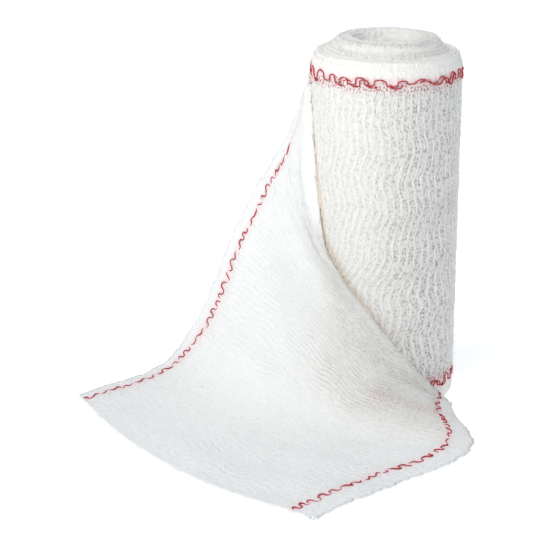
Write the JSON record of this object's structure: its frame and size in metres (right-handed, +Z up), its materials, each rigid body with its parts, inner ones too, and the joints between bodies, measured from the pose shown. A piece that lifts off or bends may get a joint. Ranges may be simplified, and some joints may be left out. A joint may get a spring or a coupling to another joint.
{
  "type": "crepe bandage roll",
  "caption": "Roll of woven crepe bandage standing on its end, its loose end folded over on a slant down the roll and spread out in front of it.",
  "frame": {"origin": "centre of the roll's flat base, on the surface it stands on", "axes": "+Z up along the roll's axis; -Y towards the viewer in front of the spread-out end; +X to that viewer's right"},
  "size_m": [0.1089, 0.1074, 0.1025],
  "materials": {
    "wound_crepe": "matt cream crepe weave, wavy crosswise ribs",
    "loose_crepe": "matt white crepe weave, wavy crosswise ribs"
  },
  "bodies": {
    "root": {"wound_roll": "wound_crepe", "loose_end": "loose_crepe"}
  },
  "joints": []
}
